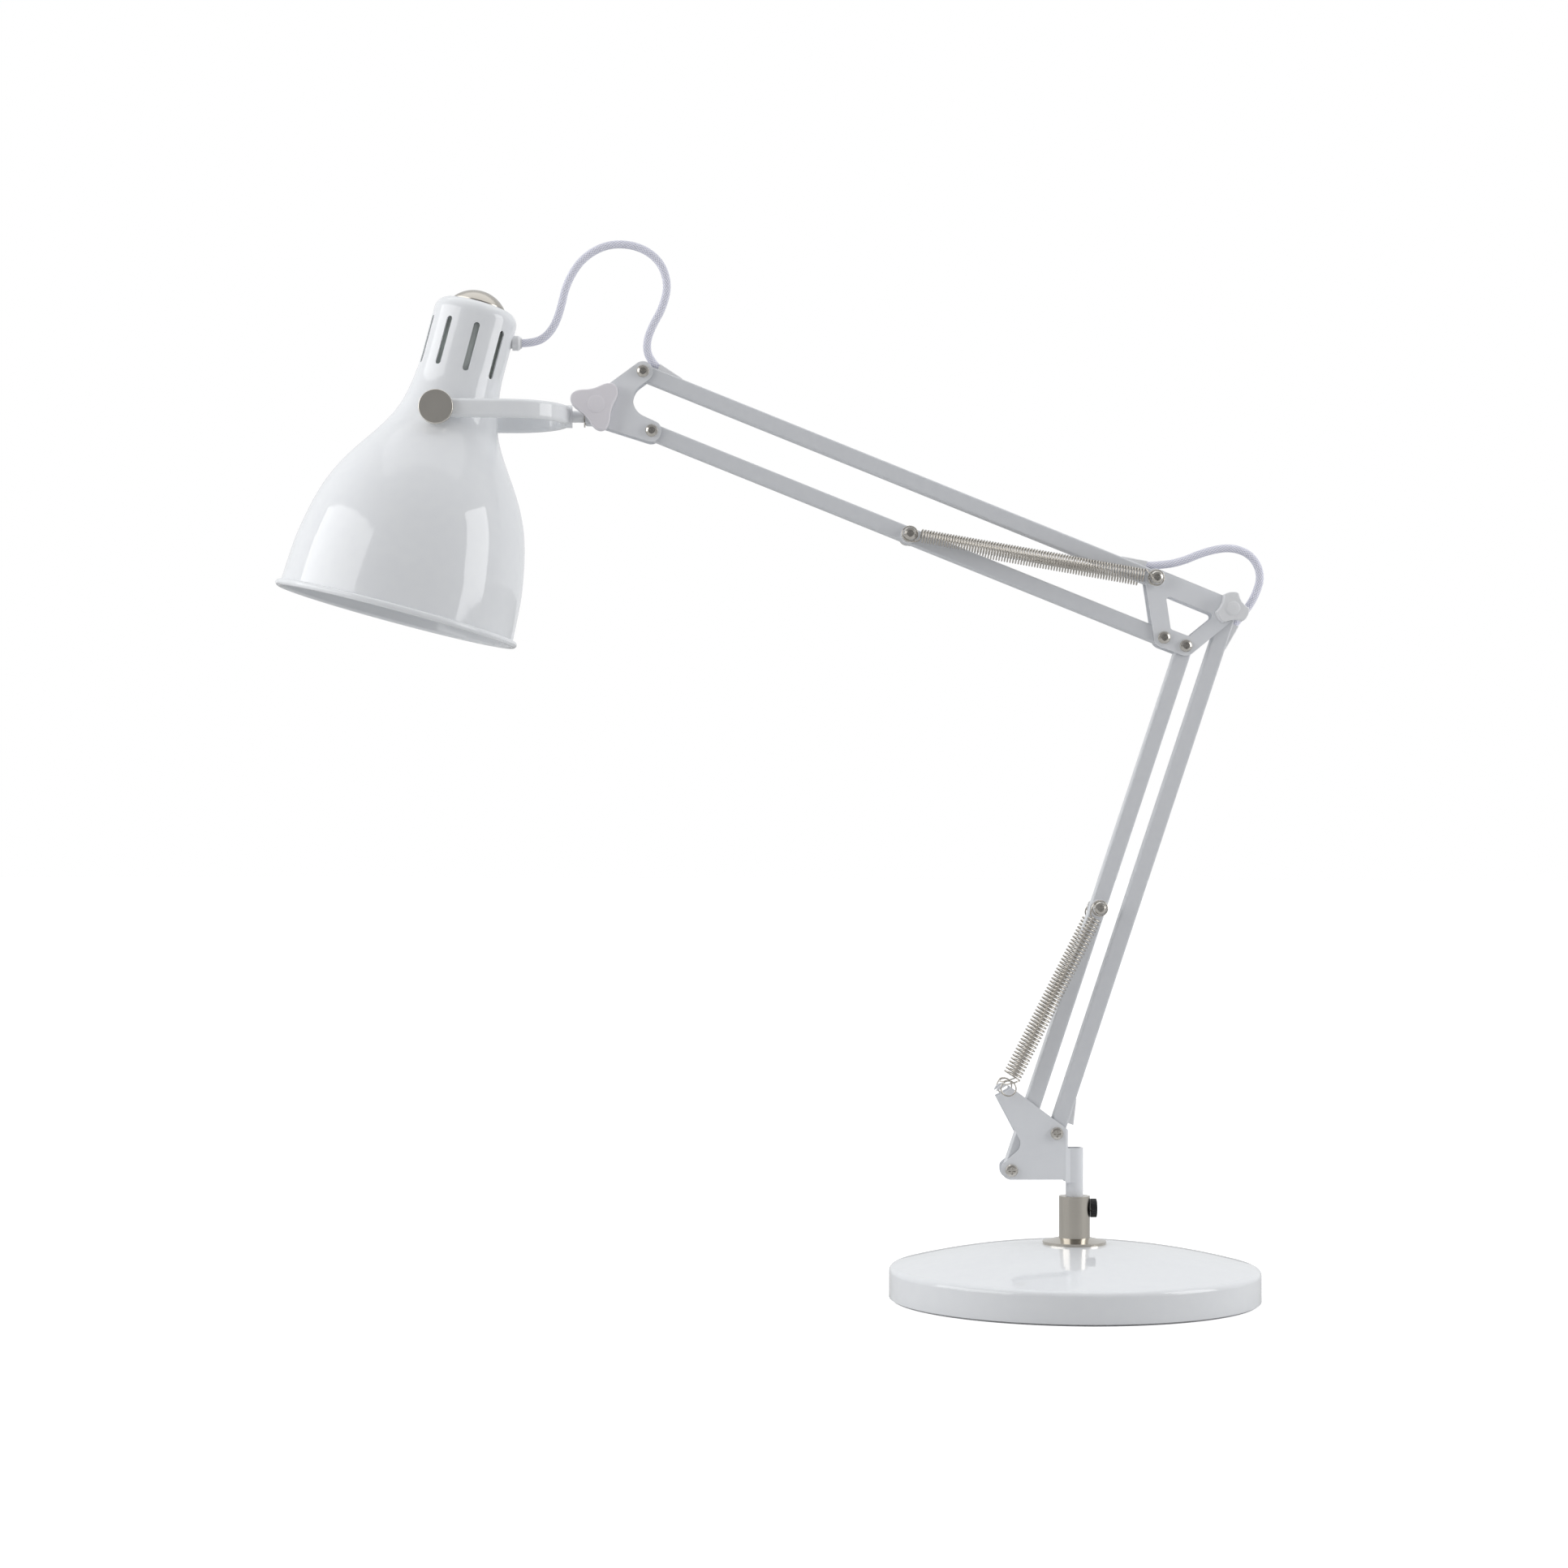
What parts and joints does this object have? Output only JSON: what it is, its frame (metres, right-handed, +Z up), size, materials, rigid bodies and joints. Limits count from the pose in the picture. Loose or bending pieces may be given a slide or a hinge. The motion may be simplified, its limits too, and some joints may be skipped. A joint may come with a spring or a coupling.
{
  "type": "swing arm desk lamp",
  "caption": "Desk lamp with a weighted round base, sprung parallelogram arms and a bell shade that tilts and turns in a yoke.",
  "frame": {"origin": "centre of the base's underside, on the table", "axes": "+Z up, -X towards the shade in the plane of the arms, -Y the side with the two clamping knobs"},
  "size_m": [0.6138, 0.23, 0.6565],
  "materials": {
    "gloss_enamel": "gloss white baked enamel",
    "satin_paint": "satin white powder coat",
    "white_nylon": "moulded white nylon",
    "wing_nylon": "moulded off-white nylon",
    "brushed_nickel": "satin nickel plate, brushed",
    "bright_zinc": "bright nickel plate",
    "spring_wire": "nickel-plated spring wire",
    "turned_steel": "turned steel",
    "painted_pin": "white powder coat",
    "cast_iron": "rough casting, primed",
    "foam_pad": "closed-cell foam",
    "black_nylon": "moulded black nylon",
    "grey_holder": "moulded pale grey plastic",
    "brass": "pressed brass",
    "braided_cord": "white braided textile over PVC"
  },
  "bodies": {
    "base": {"base_cover": "gloss_enamel", "base_pad": "foam_pad", "base_weight": "cast_iron", "socket_flange": "brushed_nickel", "socket_tube": "brushed_nickel", "socket_nut": "turned_steel"},
    "thumbscrew": {"thumbscrew_knob": "black_nylon", "thumbscrew_stud": "turned_steel"},
    "foot": {"base_bracket": "satin_paint", "base_pivot_sleeves": "turned_steel", "base_pivot_screws": "bright_zinc", "base_pivot_nuts": "bright_zinc"},
    "lower_left_arm": {"lower_left_bar": "satin_paint", "lower_spring_spools": "white_nylon", "lower_spring_bolt": "bright_zinc", "lower_spring_nut": "bright_zinc", "lower_springs": "spring_wire"},
    "lower_right_arm": {"lower_right_bar": "satin_paint", "lower_cord_hoods": "white_nylon", "lower_bar_cord": "braided_cord"},
    "elbow": {"elbow_plates": "satin_paint", "elbow_pivot_sleeves": "turned_steel", "elbow_pivot_screws": "bright_zinc", "elbow_pivot_nuts": "bright_zinc", "elbow_spring_spools": "white_nylon", "elbow_spring_bolt": "bright_zinc", "elbow_spring_nut": "bright_zinc", "elbow_knob_bolt": "bright_zinc", "elbow_cord": "braided_cord"},
    "elbow_clamp": {"elbow_knob": "white_nylon"},
    "upper_top_arm": {"upper_top_bar": "satin_paint", "upper_cord_hoods": "white_nylon", "upper_bar_cord": "braided_cord"},
    "upper_bottom_arm": {"upper_bottom_bar": "satin_paint", "upper_spring_spools": "white_nylon", "upper_spring_bolt": "bright_zinc", "upper_spring_nut": "bright_zinc", "upper_springs": "spring_wire"},
    "head_bracket": {"head_plates": "satin_paint", "head_pivot_sleeves": "turned_steel", "head_pivot_screws": "bright_zinc", "head_pivot_nuts": "bright_zinc", "head_knob_bolt": "bright_zinc", "head_cord": "braided_cord"},
    "head_clamp": {"head_knob": "wing_nylon"},
    "tilt_block": {"pivot_block": "satin_paint", "yoke_washers": "bright_zinc"},
    "fork": {"yoke": "gloss_enamel", "yoke_shaft": "painted_pin"},
    "head": {"shade": "gloss_enamel", "trunnion_bushes": "white_nylon", "trunnion_screws": "brushed_nickel", "trunnion_nuts": "bright_zinc", "shade_cap": "brushed_nickel", "cord_gland": "white_nylon", "lampholder_skirt": "grey_holder", "lampholder_dome": "grey_holder", "lampholder_thread": "brass", "lampholder_contact": "brass", "lampholder_nipple": "brass"}
  },
  "joints": [
    {"name": "stem_swivel", "type": "hinge", "parent": "base", "child": "foot", "pos_m": [0, 0, 0.05], "axis": [0, 0, 1], "continuous": true},
    {"name": "thumbscrew_turn", "type": "hinge", "parent": "base", "child": "thumbscrew", "pos_m": [0.012, 0, 0.0565], "axis": [1, 0, 0], "continuous": true},
    {"name": "lower_arm", "type": "hinge", "parent": "foot", "child": "lower_right_arm", "pos_m": [-0.0119, 0, 0.1033], "axis": [0, -1, 0], "range_deg": [-14, 50]},
    {"name": "lower_left_follow", "type": "hinge", "parent": "foot", "child": "lower_left_arm", "pos_m": [-0.03991, 0, 0.08037], "axis": [0, -1, 0], "range_deg": [-14, 50], "deforming": ["lower_springs"]},
    {"name": "elbow_level", "type": "hinge", "parent": "lower_right_arm", "child": "elbow", "pos_m": [0.09637, 0, 0.42876], "axis": [0, -1, 0], "range_deg": [-50, 14], "deforming": ["elbow_cord"]},
    {"name": "elbow_knob_turn", "type": "hinge", "parent": "elbow", "child": "elbow_clamp", "pos_m": [0.09637, -0.012, 0.42876], "axis": [0, -1, 0], "continuous": true},
    {"name": "upper_arm", "type": "hinge", "parent": "elbow", "child": "upper_top_arm", "pos_m": [0.04926, 0, 0.44773], "axis": [0, -1, 0], "range_deg": [-40, 50], "deforming": ["elbow_cord"]},
    {"name": "upper_bottom_follow", "type": "hinge", "parent": "elbow", "child": "upper_bottom_arm", "pos_m": [0.05475, 0, 0.41094], "axis": [0, -1, 0], "range_deg": [-40, 50], "deforming": ["upper_springs"]},
    {"name": "head_level", "type": "hinge", "parent": "upper_top_arm", "child": "head_bracket", "pos_m": [-0.26966, 0, 0.57399], "axis": [0, -1, 0], "range_deg": [-50, 40], "deforming": ["head_cord"]},
    {"name": "head_knob_turn", "type": "hinge", "parent": "head_bracket", "child": "head_clamp", "pos_m": [-0.29826, -0.012, 0.55249], "axis": [0, -1, 0], "continuous": true},
    {"name": "head_tilt", "type": "hinge", "parent": "head_bracket", "child": "tilt_block", "pos_m": [-0.29826, 0, 0.55249], "axis": [0, -1, 0], "range_deg": [-20, 20], "deforming": ["head_cord"]},
    {"name": "yoke_turn", "type": "hinge", "parent": "tilt_block", "child": "fork", "pos_m": [-0.30326, 0, 0.54629], "axis": [1, 0, 0], "range_deg": [-35, 35], "deforming": ["head_cord"]},
    {"name": "shade_tilt", "type": "hinge", "parent": "fork", "child": "head", "pos_m": [-0.39496, 0, 0.54629], "axis": [0, 1, 0], "range_deg": [-15, 25], "deforming": ["head_cord"]}
  ],
  "couplings": [
    {"joint": "lower_left_follow", "follows": "lower_arm", "ratio": 1},
    {"joint": "elbow_level", "follows": "lower_arm", "ratio": -1},
    {"joint": "upper_bottom_follow", "follows": "upper_arm", "ratio": 1},
    {"joint": "head_level", "follows": "upper_arm", "ratio": -1}
  ]
}
